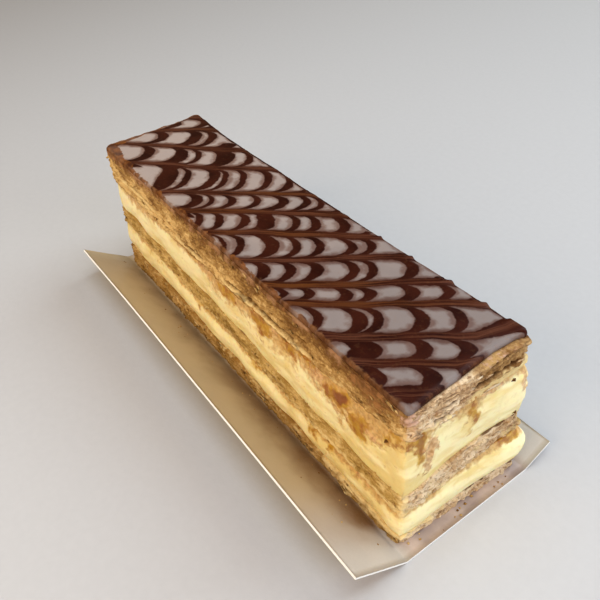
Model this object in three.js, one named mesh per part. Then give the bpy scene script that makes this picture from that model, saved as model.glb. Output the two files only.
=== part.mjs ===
// A bar-shaped mille feuille slice on its folded card slip: three slabs of flaky puff pastry,
// two layers of set custard between them, and a feathered icing on top.
// Millimetres. +Z is up, +X runs along the slice from its far end to its near end, and +Y runs
// across it. The origin is in the middle of the card's footprint, on the surface it stands on.
import * as THREE from 'three';

// Slice: size of the icing's face, and height from the card to the icing.
const SLICE_LENGTH = 130;
const SLICE_WIDTH = 30.3;
const SLICE_HEIGHT = 40.7;

// How far each bottom corner lies from the top corner above it, along X and Y.
const FOOT_LEAN = {
  farLeft: { x: 2.2, y: -1.4 },
  nearLeft: { x: 1.0, y: -1.2 },
  farRight: { x: 2.2, y: 1.4 },
  nearRight: { x: 2.1, y: 1.8 },
};

// Height of each layer's top above the card: at the far end, half way and at the near end,
// along the left and the right long side.
const LAYER_TOPS = {
  pastry_bottom: { left: [6.7, 4.2, 2.6], right: [6.7, 5.0, 4.6] },
  custard_lower: { left: [15.9, 12.6, 11.0], right: [15.7, 13.4, 13.7] },
  pastry_middle: { left: [20.6, 17.6, 16.8], right: [20.6, 19.0, 19.9] },
  custard_upper: { left: [30.2, 29.4, 33.0], right: [30.2, 30.4, 33.2] },
  pastry_top: { left: [39.4, 39.4, 39.4], right: [39.4, 39.4, 39.4] },
  icing: { left: [40.7, 40.7, 40.7], right: [40.7, 40.7, 40.7] },
};

// Card slip: a flat base with both long sides bent up.
const CARD_LENGTH = 136.5;
const CARD_THICKNESS = 0.5;
const BASE_WIDTH = 36;
const LEFT_FLAP = { width: 16.2, angle: 35.5 };
const RIGHT_FLAP = { width: 8.5, angle: 29 };
const FOLD_RADIUS = 1.5;
const FOLD_STEPS = 3;

// Where the slice stands on the card: its icing's far left corner, from the card's far end and
// from the left fold.
const SLICE_FROM_CARD_END = 2;
const SLICE_FROM_FOLD = 2.4;

// Clear space between touching pieces.
const GAP = 0.3;

// Points round the slice: steps along a long side and a short side, and how far the corners are
// rounded off. The short side's steps are an even number.
const LONG_STEPS = 44;
const SHORT_STEPS = 12;
const CORNER_ROUNDING = 0.4;

// Pastry: leaves in each slab, and how far the slab as a whole stands out of the slice's side.
const SLABS = {
  pastry_bottom: { leaves: 4, push: 0.1 },
  pastry_middle: { leaves: 5, push: -0.2 },
  pastry_top: { leaves: 7, push: 0.5 },
};

// How far a leaf's edge stands out, how far the groove under it lies back, and how ragged both
// are. Here and there a leaf ends in a longer flake.
const LEAF_EDGE = 0.35;
const LEAF_GROOVE = 0.55;
const LEAF_RAGGEDNESS = 0.45;
const GROOVE_RAGGEDNESS = 0.22;
const LEAF_WAVELENGTH = 11;
const FLAKE_REACH = 1.1;
const FLAKE_WAVELENGTH = 19;
const FLAKE_THRESHOLD = 0.45;

// The open split under the upper leaves of the top slab: its height, depth and stretches, which
// are measured from the slice's far left corner along the left side and then the near end.
const SPLIT = { leaf: 3, depth: 1.6, stretches: [[66, 104], [144, 157]], fade: 4 };

// Custard: rows of points up its side, how far it swells out, and how uneven it is.
const CUSTARD_ROWS = 6;
const CUSTARD_SWELL = { custard_lower: 0.9, custard_upper: 0.6 };
const CUSTARD_SET_BACK = 0.4;
const CUSTARD_UNEVENNESS = 0.5;
const CUSTARD_WAVELENGTH = 23;

// Both custards squeeze out at the near right corner, which is this far round the slice. The
// bulge would end this share of the layer's thickness past its foot and its top.
const SQUEEZE = {
  around: SLICE_LENGTH + SLICE_WIDTH,
  spread: 9,
  reach: { custard_lower: 2.2, custard_upper: 1.3 },
  overshoot: 0.25,
};

// Icing: how far its edge lies inside the pastry's at the foot, the middle and the top of its
// rounded side, and how uneven that edge is.
const ICING_INSET = [0.4, 0.1, 0.2, 0.8];
const ICING_UNEVENNESS = 0.35;
const ICING_WAVELENGTH = 14;

// Colour and roughness of each material.
const FINISHES = {
  card: { color: 0xcdbfa6, roughness: 0.5 },
  pastry: { color: 0xc99a5b, roughness: 0.8 },
  topPastry: { color: 0xbf8a4c, roughness: 0.75 },
  custard: { color: 0xf0dc8c, roughness: 0.45 },
  icing: { color: 0xd9cfcb, roughness: 0.3 },
};

const radians = THREE.MathUtils.degToRad;
const lerp = THREE.MathUtils.lerp;

// --- Frame ---------------------------------------------------------------------------------

const leftFlapReach = LEFT_FLAP.width * Math.cos(radians(LEFT_FLAP.angle));
const rightFlapReach = RIGHT_FLAP.width * Math.cos(radians(RIGHT_FLAP.angle));
const cardWidth = leftFlapReach + BASE_WIDTH + rightFlapReach;
const leftFoldY = leftFlapReach - cardWidth / 2;
const rightFoldY = leftFoldY + BASE_WIDTH;
const sliceFarX = SLICE_FROM_CARD_END - CARD_LENGTH / 2;
const sliceLeftY = leftFoldY + SLICE_FROM_FOLD;

// --- Unevenness ----------------------------------------------------------------------------

// A repeatable number from 0 to 1 for a seed.
function seededNumber(seed) {
  const wave = Math.sin(seed * 127.1 + 311.7) * 43758.5453;
  return wave - Math.floor(wave);
}

const perimeter = 2 * (SLICE_LENGTH + SLICE_WIDTH);

// Waves that add up to unevenness: each one's share, and how many fit in the longest one.
const WAVES = [
  { share: 0.5, perWavelength: 1 },
  { share: 0.3, perWavelength: 1.62 },
  { share: 0.2, perWavelength: 2.47 },
];

// A smooth uneven value from -1 to 1 that closes on itself round the slice.
function unevenness(seed, along, wavelength) {
  const turns = Math.round(perimeter / wavelength);
  let sum = 0;
  for (const { share, perWavelength } of WAVES) {
    const phase = 2 * Math.PI * seededNumber(seed + perWavelength);
    const cycles = Math.round(turns * perWavelength);
    sum += share * Math.sin((2 * Math.PI * cycles * along) / perimeter + phase);
  }
  return sum;
}

// 1 inside a stretch of the perimeter, and 0 outside it, with soft ends.
function insideStretch(along, [start, end], fade) {
  const rise = THREE.MathUtils.smoothstep(along, start - fade, start + fade);
  const fall = THREE.MathUtils.smoothstep(along, end - fade, end + fade);
  return rise - fall;
}

// --- Points round the slice ----------------------------------------------------------------

// Each point has its place along (u) and across (v) the slice from 0 to 1, its outward
// direction, and its distance from the far left corner round the slice.
function pointsRoundSlice() {
  const points = [];
  const add = (u, v, outX, outY, along) => {
    points.push({ u, v, outX, outY, along });
  };
  const corner = (i) => (i === 0 ? 1 : 0);
  for (let i = 0; i < LONG_STEPS; i++) {
    add(i / LONG_STEPS, 0, -corner(i), -1, (SLICE_LENGTH * i) / LONG_STEPS);
  }
  for (let i = 0; i < SHORT_STEPS; i++) {
    const along = SLICE_LENGTH + (SLICE_WIDTH * i) / SHORT_STEPS;
    add(1, i / SHORT_STEPS, 1, -corner(i), along);
  }
  for (let i = 0; i < LONG_STEPS; i++) {
    const along = SLICE_LENGTH + SLICE_WIDTH + (SLICE_LENGTH * i) / LONG_STEPS;
    add(1 - i / LONG_STEPS, 1, corner(i), 1, along);
  }
  for (let i = 0; i < SHORT_STEPS; i++) {
    const along = 2 * SLICE_LENGTH + SLICE_WIDTH + (SLICE_WIDTH * i) / SHORT_STEPS;
    add(0, 1 - i / SHORT_STEPS, -1, corner(i), along);
  }
  return points;
}

const roundSlice = pointsRoundSlice();

// A curve through three values, at 0, a half and 1.
function throughThree([far, middle, near], u) {
  return far * (1 - u) * (1 - 2 * u) + middle * 4 * u * (1 - u) + near * u * (2 * u - 1);
}

// Height of a layer's top above the card at a place on the slice.
function layerTop(name, u, v) {
  const heights = LAYER_TOPS[name];
  return lerp(throughThree(heights.left, u), throughThree(heights.right, u), v);
}

// The place of a point that is pushed out of the slice's side by some millimetres, at a height
// that is given as a function of the place.
function placeOnSide(point, push, heightAt) {
  const isCorner = point.outX !== 0 && point.outY !== 0;
  const out = isCorner ? (push - CORNER_ROUNDING) * Math.SQRT1_2 : push;
  const u = point.u + (point.outX * out) / SLICE_LENGTH;
  const v = point.v + (point.outY * out) / SLICE_WIDTH;
  const height = heightAt(u, v);
  const depth = 1 - height / SLICE_HEIGHT;
  const farX = lerp(FOOT_LEAN.farLeft.x, FOOT_LEAN.farRight.x, v);
  const nearX = lerp(FOOT_LEAN.nearLeft.x, FOOT_LEAN.nearRight.x, v);
  const farY = lerp(FOOT_LEAN.farLeft.y, FOOT_LEAN.farRight.y, v);
  const nearY = lerp(FOOT_LEAN.nearLeft.y, FOOT_LEAN.nearRight.y, v);
  return new THREE.Vector3(
    sliceFarX + SLICE_LENGTH * u + depth * lerp(farX, nearX, u),
    sliceLeftY + SLICE_WIDTH * v + depth * lerp(farY, nearY, u),
    CARD_THICKNESS + height,
  );
}

// --- Layers --------------------------------------------------------------------------------

// The flat of a layer: a strip across the slice for each step along it, and a fan at each end.
function coverTriangles() {
  const count = roundSlice.length;
  const nearLeft = LONG_STEPS;
  const nearRight = nearLeft + SHORT_STEPS;
  const farRight = nearRight + LONG_STEPS;
  const left = (i) => i;
  const right = (i) => farRight - i;
  const triangles = [];
  for (let i = 1; i < LONG_STEPS - 1; i++) {
    triangles.push([left(i), left(i + 1), right(i + 1)]);
    triangles.push([left(i), right(i + 1), right(i)]);
  }
  const addEnd = (first, start, end) => {
    const middle = SHORT_STEPS / 2;
    for (let j = 0; j < SHORT_STEPS; j++) {
      const from = j < middle ? start : end;
      triangles.push([from, first + j, (first + j + 1) % count]);
    }
    triangles.push([start, first + middle, end]);
  };
  addEnd(nearLeft, left(LONG_STEPS - 1), right(LONG_STEPS - 1));
  addEnd(farRight, right(1), left(1));
  return triangles;
}

// A closed layer between two heights. rows gives the share of the thickness of each ring of
// points up its side, and pushAt gives how far a point of a ring stands out.
function layerGeometry(bottomAt, topAt, rows, pushAt) {
  const rings = rows.map((share, row) => roundSlice.map((point) => {
    const heightAt = (u, v) => lerp(bottomAt(u, v), topAt(u, v), share);
    return placeOnSide(point, pushAt(row, point), heightAt);
  }));
  const count = roundSlice.length;
  const positions = rings.flat().flatMap((place) => place.toArray());
  const triangles = [];
  for (let row = 0; row + 1 < rings.length; row++) {
    for (let i = 0; i < count; i++) {
      const next = (i + 1) % count;
      const low = row * count;
      const high = low + count;
      triangles.push(low + i, low + next, high + next);
      triangles.push(low + i, high + next, high + i);
    }
  }
  const top = (rings.length - 1) * count;
  for (const [a, b, c] of coverTriangles()) {
    triangles.push(top + a, top + b, top + c);
    triangles.push(c, b, a);
  }
  const geometry = new THREE.BufferGeometry();
  geometry.setAttribute('position', new THREE.Float32BufferAttribute(positions, 3));
  geometry.setIndex(triangles);
  geometry.computeVertexNormals();
  return geometry;
}

// A slab of puff pastry: its side is a groove and an edge for each leaf.
function pastryGeometry(name, bottomAt, topAt, seed) {
  const { leaves, push } = SLABS[name];
  const rows = Array.from({ length: 2 * leaves + 1 }, (_, row) => row / (2 * leaves));
  const leafPush = (leafSeed, along) => {
    const ragged = LEAF_RAGGEDNESS * unevenness(leafSeed, along, LEAF_WAVELENGTH);
    const past = unevenness(leafSeed + 3, along, FLAKE_WAVELENGTH) - FLAKE_THRESHOLD;
    const flake = Math.max(0, past) / (1 - FLAKE_THRESHOLD);
    return push + LEAF_EDGE + ragged + FLAKE_REACH * flake;
  };
  const groovePush = (leafSeed, along) => {
    const ragged = GROOVE_RAGGEDNESS * unevenness(leafSeed, along, LEAF_WAVELENGTH);
    return push + ragged - LEAF_GROOVE;
  };
  const splitDepth = (along) => {
    const opened = SPLIT.stretches.map((stretch) => insideStretch(along, stretch, SPLIT.fade));
    return SPLIT.depth * Math.max(...opened);
  };
  const pushAt = (row, { along }) => {
    const leafSeed = seed + 7 * Math.floor(row / 2);
    if (row % 2 === 1) {
      return leafPush(leafSeed, along);
    }
    const isSplit = name === 'pastry_top' && row === 2 * SPLIT.leaf;
    return groovePush(leafSeed, along) - (isSplit ? splitDepth(along) : 0);
  };
  return layerGeometry(bottomAt, topAt, rows, pushAt);
}

// A layer of custard: its side swells out and is uneven, most of all at the near right corner.
function custardGeometry(name, bottomAt, topAt, seed) {
  const rows = Array.from({ length: CUSTARD_ROWS }, (_, row) => row / (CUSTARD_ROWS - 1));
  const squeezeAt = (share, along) => {
    const off = (along - SQUEEZE.around) / SQUEEZE.spread;
    const up = (share + SQUEEZE.overshoot) / (1 + 2 * SQUEEZE.overshoot);
    return SQUEEZE.reach[name] * Math.exp(-off * off) * Math.sin(Math.PI * up);
  };
  const pushAt = (row, { along }) => {
    const swell = CUSTARD_SWELL[name] * Math.sin(Math.PI * rows[row]);
    const uneven = CUSTARD_UNEVENNESS * unevenness(seed + row, along, CUSTARD_WAVELENGTH);
    return swell + uneven + squeezeAt(rows[row], along) - CUSTARD_SET_BACK;
  };
  return layerGeometry(bottomAt, topAt, rows, pushAt);
}

// The icing: a thin sheet with a rounded, slightly uneven edge.
function icingGeometry(name, bottomAt, topAt, seed) {
  const rows = ICING_INSET.map((_, row) => row / (ICING_INSET.length - 1));
  const pushAt = (row, { along }) => (
    ICING_UNEVENNESS * unevenness(seed, along, ICING_WAVELENGTH) - ICING_INSET[row]
  );
  return layerGeometry(bottomAt, topAt, rows, pushAt);
}

// --- Card slip -----------------------------------------------------------------------------

// The underside of the card's section across the slice: its points, with the side of the base
// that each one lies on and how far the sheet has turned up there.
function cardUnderside() {
  const bend = (foldY, side, flap) => {
    const angle = radians(flap.angle);
    const tangent = FOLD_RADIUS * Math.tan(angle / 2);
    const arc = [];
    for (let i = 0; i <= FOLD_STEPS; i++) {
      const turn = (angle * i) / FOLD_STEPS;
      const y = foldY + side * (FOLD_RADIUS * Math.sin(turn) - tangent);
      arc.push({ y, z: FOLD_RADIUS * (1 - Math.cos(turn)), side, turn });
    }
    const edgeY = foldY + side * flap.width * Math.cos(angle);
    return [...arc, { y: edgeY, z: flap.width * Math.sin(angle), side, turn: angle }];
  };
  return [...bend(leftFoldY, -1, LEFT_FLAP).reverse(), ...bend(rightFoldY, 1, RIGHT_FLAP)];
}

// The card: its section, extruded along the slice.
function cardGeometry() {
  const line = cardUnderside();
  const below = line.map(({ y, z }) => new THREE.Vector2(y, z));
  const above = line.map(({ y, z, side, turn }) => new THREE.Vector2(
    y - side * CARD_THICKNESS * Math.sin(turn),
    z + CARD_THICKNESS * Math.cos(turn),
  ));
  const outline = new THREE.Shape([...below, ...above.reverse()]);
  const options = { depth: CARD_LENGTH, bevelEnabled: false, curveSegments: 1 };
  const geometry = new THREE.ExtrudeGeometry(outline, options);
  geometry.translate(0, 0, -CARD_LENGTH / 2);
  // The outline's own X and Y become the slice's Y and Z, and the extrusion runs along X.
  const basis = new THREE.Matrix4().makeBasis(
    new THREE.Vector3(0, 1, 0),
    new THREE.Vector3(0, 0, 1),
    new THREE.Vector3(1, 0, 0),
  );
  geometry.applyMatrix4(basis);
  return geometry;
}

// --- The slice -----------------------------------------------------------------------------

function namedMesh(name, geometry, finish) {
  const mesh = new THREE.Mesh(geometry, new THREE.MeshStandardMaterial(finish));
  mesh.name = name;
  return mesh;
}

// The layers from the card up. Each one's seed sets its own unevenness.
const LAYERS = [
  { name: 'pastry_bottom', make: pastryGeometry, seed: 11, finish: FINISHES.pastry },
  { name: 'custard_lower', make: custardGeometry, seed: 101, finish: FINISHES.custard },
  { name: 'pastry_middle', make: pastryGeometry, seed: 211, finish: FINISHES.pastry },
  { name: 'custard_upper', make: custardGeometry, seed: 307, finish: FINISHES.custard },
  { name: 'pastry_top', make: pastryGeometry, seed: 401, finish: FINISHES.topPastry },
  { name: 'icing', make: icingGeometry, seed: 503, finish: FINISHES.icing },
];

const slice = new THREE.Group();
slice.add(namedMesh('card_slip', cardGeometry(), FINISHES.card));

let topBelow = () => 0;
for (const { name, make, seed, finish } of LAYERS) {
  const supportAt = topBelow;
  const bottomAt = (u, v) => supportAt(u, v) + GAP;
  const topAt = (u, v) => layerTop(name, u, v);
  slice.add(namedMesh(name, make(name, bottomAt, topAt, seed), finish));
  topBelow = topAt;
}

export default slice;
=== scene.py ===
import itertools
import math

import bpy
import numpy as np
from mathutils import Matrix, Vector


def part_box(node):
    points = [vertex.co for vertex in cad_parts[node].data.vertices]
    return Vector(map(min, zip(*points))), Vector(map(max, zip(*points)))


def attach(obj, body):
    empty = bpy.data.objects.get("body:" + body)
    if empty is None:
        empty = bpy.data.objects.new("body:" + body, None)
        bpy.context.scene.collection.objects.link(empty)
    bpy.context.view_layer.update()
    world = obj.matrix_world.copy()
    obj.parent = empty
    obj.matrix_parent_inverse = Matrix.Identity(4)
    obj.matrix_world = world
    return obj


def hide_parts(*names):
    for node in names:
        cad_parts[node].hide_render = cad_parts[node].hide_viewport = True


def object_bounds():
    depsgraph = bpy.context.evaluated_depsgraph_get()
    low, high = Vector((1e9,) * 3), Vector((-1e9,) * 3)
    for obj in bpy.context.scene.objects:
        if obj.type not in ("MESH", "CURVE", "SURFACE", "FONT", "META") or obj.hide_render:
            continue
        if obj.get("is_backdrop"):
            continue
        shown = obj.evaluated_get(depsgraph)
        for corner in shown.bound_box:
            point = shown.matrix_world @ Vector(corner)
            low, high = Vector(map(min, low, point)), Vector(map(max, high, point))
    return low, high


# A bar-shaped mille feuille slice on its card slip. Sizes are in millimetres, in the row frame:
# +X runs along the slice to its near end, +Y across it to the right, +Z up.
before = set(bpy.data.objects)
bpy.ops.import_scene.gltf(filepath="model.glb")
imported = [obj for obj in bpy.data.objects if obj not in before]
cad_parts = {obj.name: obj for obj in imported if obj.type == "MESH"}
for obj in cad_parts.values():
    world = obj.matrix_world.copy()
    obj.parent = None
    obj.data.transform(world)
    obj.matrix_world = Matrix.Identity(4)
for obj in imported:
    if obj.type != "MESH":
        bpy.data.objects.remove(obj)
cad_low, cad_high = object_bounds()


# ---------------------------------------------------------------------------------------------
# Card slip
# A strip of satin-coated card, creased along both sides of the slice. The tall left side and
# the low right side spring up from the flat base. Its cut edge shows the white core.

MM = 0.001
CARD_THICKNESS = 0.5
CARD_FOLD_RADIUS = 1.5
CARD_BASE_WIDTH = 36
CARD_LEFT_SIDE = {"width": 16.2, "angle": math.radians(35.5)}
CARD_RIGHT_SIDE = {"width": 8.5, "angle": math.radians(29)}
CREASE_POINTS = 7
CARD_STEP = 1.5
# How far the sprung sides bow, and over what length.
CARD_BOW = 0.35
CARD_BOW_LENGTH = 45

card_low, card_high = (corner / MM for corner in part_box("card_slip"))
card_left_fold = card_low.y + CARD_LEFT_SIDE["width"] * math.cos(CARD_LEFT_SIDE["angle"])
card_right_fold = card_left_fold + CARD_BASE_WIDTH


def lumps(places, size, seed):
    """Smooth unevenness from -1 to 1 at places in mm, in lumps of a size, or of one per axis."""
    steps = np.asarray(places, float) / size + 37.7 * seed
    cell = np.floor(steps).astype(np.int64)
    part = steps - cell
    part = part * part * (3 - 2 * part)
    total = np.zeros(steps.shape[:-1])
    for corner in itertools.product((0, 1), repeat=3):
        at = cell + corner
        mixed = at[..., 0] * 73856093 ^ at[..., 1] * 19349663 ^ at[..., 2] * 83492791
        mixed = (mixed ^ (mixed >> 13)) * 1274126177 & 0x7FFFFFFF
        mixed = (mixed ^ (mixed >> 16)) & 0xFFFF
        weight = np.prod(np.where(corner, part, 1 - part), axis=-1)
        total += weight * (mixed / 32767.5 - 1)
    return total


def fade(values, start, end):
    """0 up to start and 1 from end on, with a smooth rise between."""
    share = np.clip((np.asarray(values, float) - start) / (end - start), 0, 1)
    return share * share * (3 - 2 * share)


def make_piece(name, corners, faces, materials, paints):
    """A mesh piece from corners in mm, which rides with the slice and has a material slot. Its
    paints are values at its corners that the material reads."""
    mesh = bpy.data.meshes.new(name)
    mesh.from_pydata((np.asarray(corners) * MM).tolist(), [], faces)
    mesh.validate()
    mesh.polygons.foreach_set("use_smooth", [True] * len(mesh.polygons))
    for material in materials:
        mesh.materials.append(material)
    for paint, values in paints.items():
        mesh.attributes.new(paint, "FLOAT", "POINT").data.foreach_set("value", np.ravel(values))
    piece = bpy.data.objects.new(name, mesh)
    bpy.context.scene.collection.objects.link(piece)
    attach(piece, "root")
    return piece


class Finish:
    """A material that is built up node by node on its surface shader."""

    def __init__(self, name, **constants):
        self.material = bpy.data.materials.new(name)
        self.material.use_nodes = True
        self.nodes = self.material.node_tree.nodes
        self.links = self.material.node_tree.links
        self.surface = self.nodes["Principled BSDF"]
        for socket, value in constants.items():
            self.set(socket.replace("_", " "), value)

    def set(self, socket, value, node=None):
        """Joins another node's output to a socket, or sets the socket to a constant."""
        target = (node or self.surface).inputs[socket]
        if isinstance(value, bpy.types.NodeSocket):
            self.links.new(value, target)
        else:
            target.default_value = value

    def add(self, kind, inputs, output=0, **settings):
        """A node with its settings and inputs, given as its output."""
        node = self.nodes.new("ShaderNode" + kind)
        for setting, value in settings.items():
            setattr(node, setting, value)
        for socket, value in inputs.items():
            self.set(socket, value, node)
        return node.outputs[output]

    def painted(self, name):
        """A value that the mesh carries at each of its points."""
        return self.add("Attribute", {}, output="Fac", attribute_name=name)

    def grain(self, size, detail=3, stretch=(1, 1, 1)):
        """Noise from 0 to 1 with a grain size in mm, stretched along the row frame's axes."""
        place = self.add("TexCoord", {}, output="Object")
        scale = [1 / part for part in stretch]
        place = self.add("Mapping", {"Vector": place, "Scale": scale})
        inputs = {"Vector": place, "Scale": 1 / (size * MM), "Detail": detail}
        return self.add("TexNoise", inputs)

    def streaks(self, along, beside, detail, roughness=0.5):
        """Noise in streaks, from a place along and a place beside them, each with its scale."""
        place = {"X": self.times(*along), "Y": self.times(*beside)}
        inputs = {"Vector": self.add("CombineXYZ", place), "Scale": 1.0}
        return self.add("TexNoise", {**inputs, "Detail": detail, "Roughness": roughness})

    def sum(self, first, second):
        return self.add("Math", {0: first, 1: second}, operation="ADD")

    def times(self, first, second):
        return self.add("Math", {0: first, 1: second}, operation="MULTIPLY")

    def rise(self, value, start, end, low=0, high=1):
        """A value mapped to low up to start, and to high from end on."""
        inputs = {"Value": value, "From Min": start, "From Max": end, "To Min": low, "To Max": high}
        return self.add("MapRange", inputs, interpolation_type="SMOOTHSTEP")

    def uneven(self, size, detail, low=0, high=1, stretch=(1, 1, 1)):
        """Noise with a grain size in mm that runs from low to high."""
        return self.rise(self.grain(size, detail, stretch), 0.3, 0.7, low, high)

    def stain(self, paint, ragged, start, end, most):
        """How much a painted stain covers, with a ragged edge: from none to most of the surface."""
        return self.rise(self.sum(self.painted(paint), ragged), start, end, 0, most)

    def blend(self, share, first, second):
        """The first colour where the share is 0, and the second where it is 1."""
        return self.add("Mix", {0: share, 6: first, 7: second}, output=2, data_type="RGBA")

    def mottled(self, size, first, second):
        """Two colours in patches of a size in mm."""
        return self.blend(self.rise(self.grain(size), 0.35, 0.65), first, second)

    def lay(self, share, over):
        """Lays a colour over the surface's colour so far, as much as the share says."""
        under = self.surface.inputs["Base Color"].links[0].from_socket
        self.set("Base Color", self.blend(share, under, over))

    def bump(self, height, depth, under=None):
        """A relief of some mm depth."""
        inputs = {"Height": height, "Distance": depth * MM}
        if under is not None:
            inputs["Normal"] = under
        return self.add("Bump", inputs)


def colour(red, green, blue):
    """A shader colour from screen values, 0 to 255."""
    parts = [part / 255 for part in (red, green, blue)]
    linear = [((p + 0.055) / 1.055) ** 2.4 if p > 0.04045 else p / 12.92 for p in parts]
    return (*linear, 1)


def card_section():
    """The middle line of the card across the slice, with the direction it faces at each point."""
    line = []
    sides = ((CARD_LEFT_SIDE, card_left_fold, -1), (CARD_RIGHT_SIDE, card_right_fold, 1))
    for side, fold, outward in sides:
        angle = side["angle"]
        start = CARD_FOLD_RADIUS * math.tan(angle / 2)
        half = []
        for turn in np.linspace(0, angle, CREASE_POINTS):
            reach = CARD_FOLD_RADIUS * math.sin(turn) - start
            rise = CARD_FOLD_RADIUS * (1 - math.cos(turn))
            half.append((fold + outward * reach, rise, -outward * math.sin(turn), math.cos(turn)))
        for along in np.arange(start + CARD_STEP, side["width"], CARD_STEP).tolist() + [side["width"]]:
            place = (fold + outward * along * math.cos(angle), along * math.sin(angle))
            half.append((*place, -outward * math.sin(angle), math.cos(angle)))
        line.append(half)
    base = np.arange(card_left_fold + CARD_STEP, card_right_fold - 1, CARD_STEP)
    return line[0][::-1] + [(y, 0, 0, 1) for y in base] + line[1]


section = np.array(card_section())
stations = np.linspace(card_low.x, card_high.x, round((card_high.x - card_low.x) / CARD_STEP) + 1)
x, y = np.meshgrid(stations, section[:, 0], indexing="ij")
rise = np.broadcast_to(section[:, 1], x.shape)
facing_y = np.broadcast_to(section[:, 2], x.shape)
facing_z = np.broadcast_to(section[:, 3], x.shape)
# The sprung sides bow a little along their length, and the flat base lies still.
bow = CARD_BOW * fade(rise, 0, 6) * lumps(np.stack([x, y * 0, y * 0], -1), CARD_BOW_LENGTH, 1)
under = np.stack([x, y + facing_y * bow, np.maximum(rise + facing_z * bow, 0)], -1)
over = under + CARD_THICKNESS * np.stack([x * 0, facing_y, facing_z], -1)
rows, columns = x.shape
corners = np.concatenate([under.reshape(-1, 3), over.reshape(-1, 3)])
upper = rows * columns
faces = []
for i in range(rows - 1):
    for j in range(columns - 1):
        a, b = i * columns + j, (i + 1) * columns + j
        c, d = b + 1, a + 1
        faces.append((d, c, b, a))
        faces.append((upper + a, upper + b, upper + c, upper + d))
border = list(range(columns))
border += [i * columns + columns - 1 for i in range(1, rows)]
border += [(rows - 1) * columns + j for j in range(columns - 2, -1, -1)]
border += [i * columns for i in range(rows - 2, 0, -1)]
flat_faces = len(faces)
for first, second in zip(border, border[1:] + border[:1]):
    faces.append((first, second, upper + second, upper + first))

# Butter has seeped into the tall side along the slice's foot, and the shade at the foot is painted
# in with it, most towards the near end.
up_left_side = fade(card_left_fold - y, -2.5, 0)
from_fold = np.clip((card_left_fold - y) / CARD_LEFT_SIDE["width"], 0, 1)
along_slice = (x - card_low.x) / (card_high.x - card_low.x)
butter_and_foot_shade = up_left_side * (1 - fade(from_fold, -0.1, 0.8)) * (0.3 + 0.7 * along_slice)
butter_and_foot_shade = butter_and_foot_shade * (1 - fade(along_slice, 0.91, 0.97))
# The tall side is painted browner, for the shade and the warm light reflected from the slice there;
# its near tip and the low side, out of the slice's shade, are painted lighter and greyer.
near_tip = fade(along_slice, 0.8, 0.97)
paints = {
    "butter_and_foot_shade": [butter_and_foot_shade, butter_and_foot_shade],
    "brown_tint": [up_left_side * (1 - 0.4 * near_tip)] * 2,
    "out_of_shade": [fade(y - card_right_fold, -1, 2) + 0.6 * up_left_side * near_tip] * 2,
}

coating = Finish("satin_card", Specular_IOR_Level=0.5)
fibres = coating.grain(0.5, 4)
clouds = coating.grain(7, 4)
cloudy = coating.rise(clouds, 0.3, 0.7)
coating.set("Base Color", coating.blend(cloudy, colour(156, 138, 130), colour(198, 176, 160)))
# Painted shade with reflected warm light on the tall side; painted full light on the low side and near
# tip.
coating.lay(coating.painted("brown_tint"), colour(189, 167, 129))
coating.lay(coating.painted("out_of_shade"), colour(198, 192, 184))
# Butter stain with painted shade along the slice's foot.
soaked_and_shaded = coating.sum(coating.painted("butter_and_foot_shade"), coating.rise(clouds, 0.3, 0.7, -0.1, 0.1))
coating.lay(coating.rise(soaked_and_shaded, 0.05, 1), colour(112, 76, 40))
coating.lay(coating.rise(fibres, 0.3, 0.8, 0, 0.12), colour(170, 150, 124))
coating.set("Roughness", coating.rise(clouds, 0.3, 0.7, 0.36, 0.5))
coating.set("Normal", coating.bump(fibres, 0.02))

core = Finish("card_core", Roughness=0.8)
core.set("Base Color", core.blend(core.grain(0.3), colour(236, 233, 226), colour(250, 249, 246)))

card = make_piece("card", corners, faces, [coating.material, core.material], paints)
for face in card.data.polygons[flat_faces:]:
    face.material_index = 1
    face.use_smooth = False
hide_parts("card_slip")


# ---------------------------------------------------------------------------------------------
# Bottom slab of puff pastry
# Thin leaves of baked dough, pressed together by the weight above. The cut through the stack
# shows each leaf's ragged edge. It lies on the card.

SLICE_LENGTH = 130
SLICE_WIDTH = 30.3
SLICE_HEIGHT = 40.7
SLICE_FROM_CARD_END = 2
SLICE_FROM_FOLD = 2.4
# How far the slice's foot lies from its top: left and right side, each at far and near end.
FOOT_LEAN_X = ((2.2, 1.0), (2.2, 2.1))
FOOT_LEAN_Y = ((-1.4, -1.2), (1.4, 1.8))
# Places round the slice count from its far left corner, down the left side, across the near end,
# back up the right side and across the far end.
NEAR_LEFT = SLICE_LENGTH
NEAR_RIGHT = SLICE_LENGTH + SLICE_WIDTH
FAR_RIGHT = 2 * SLICE_LENGTH + SLICE_WIDTH
CORNER_RADIUS = 0.6
CORNER_POINTS = 5
OUTLINE_STEP = 0.3
LEAF_THICKNESS = 0.62
# A layer's side has rings of points from bottom to top, and its faces have some at these insets.
BOTTOM_SLAB_RINGS = 34
COVER_INSETS = (0.25, 0.6, 1.2, 2.5, 5)
# How far in from the edge a layer's faces still move out with its side.
PUSH_REACH = 2.5


def layer_top(left, right):
    """A layer's top above the card, from its far, middle and near heights along both sides."""

    def height(x, y):
        u, v = x / SLICE_LENGTH, y / SLICE_WIDTH
        weights = ((1 - u) * (1 - 2 * u), 4 * u * (1 - u), u * (2 * u - 1))
        at_left = sum(part * weight for part, weight in zip(left, weights))
        at_right = sum(part * weight for part, weight in zip(right, weights))
        return at_left + (at_right - at_left) * v

    return height


def sagging(top, depth):
    """A layer's top that sags by some mm along the left side, towards the near end."""
    return lambda x, y: top(x, y) - depth * fade(x, 60, 100) * (1 - fade(y, 2, 22))


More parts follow.
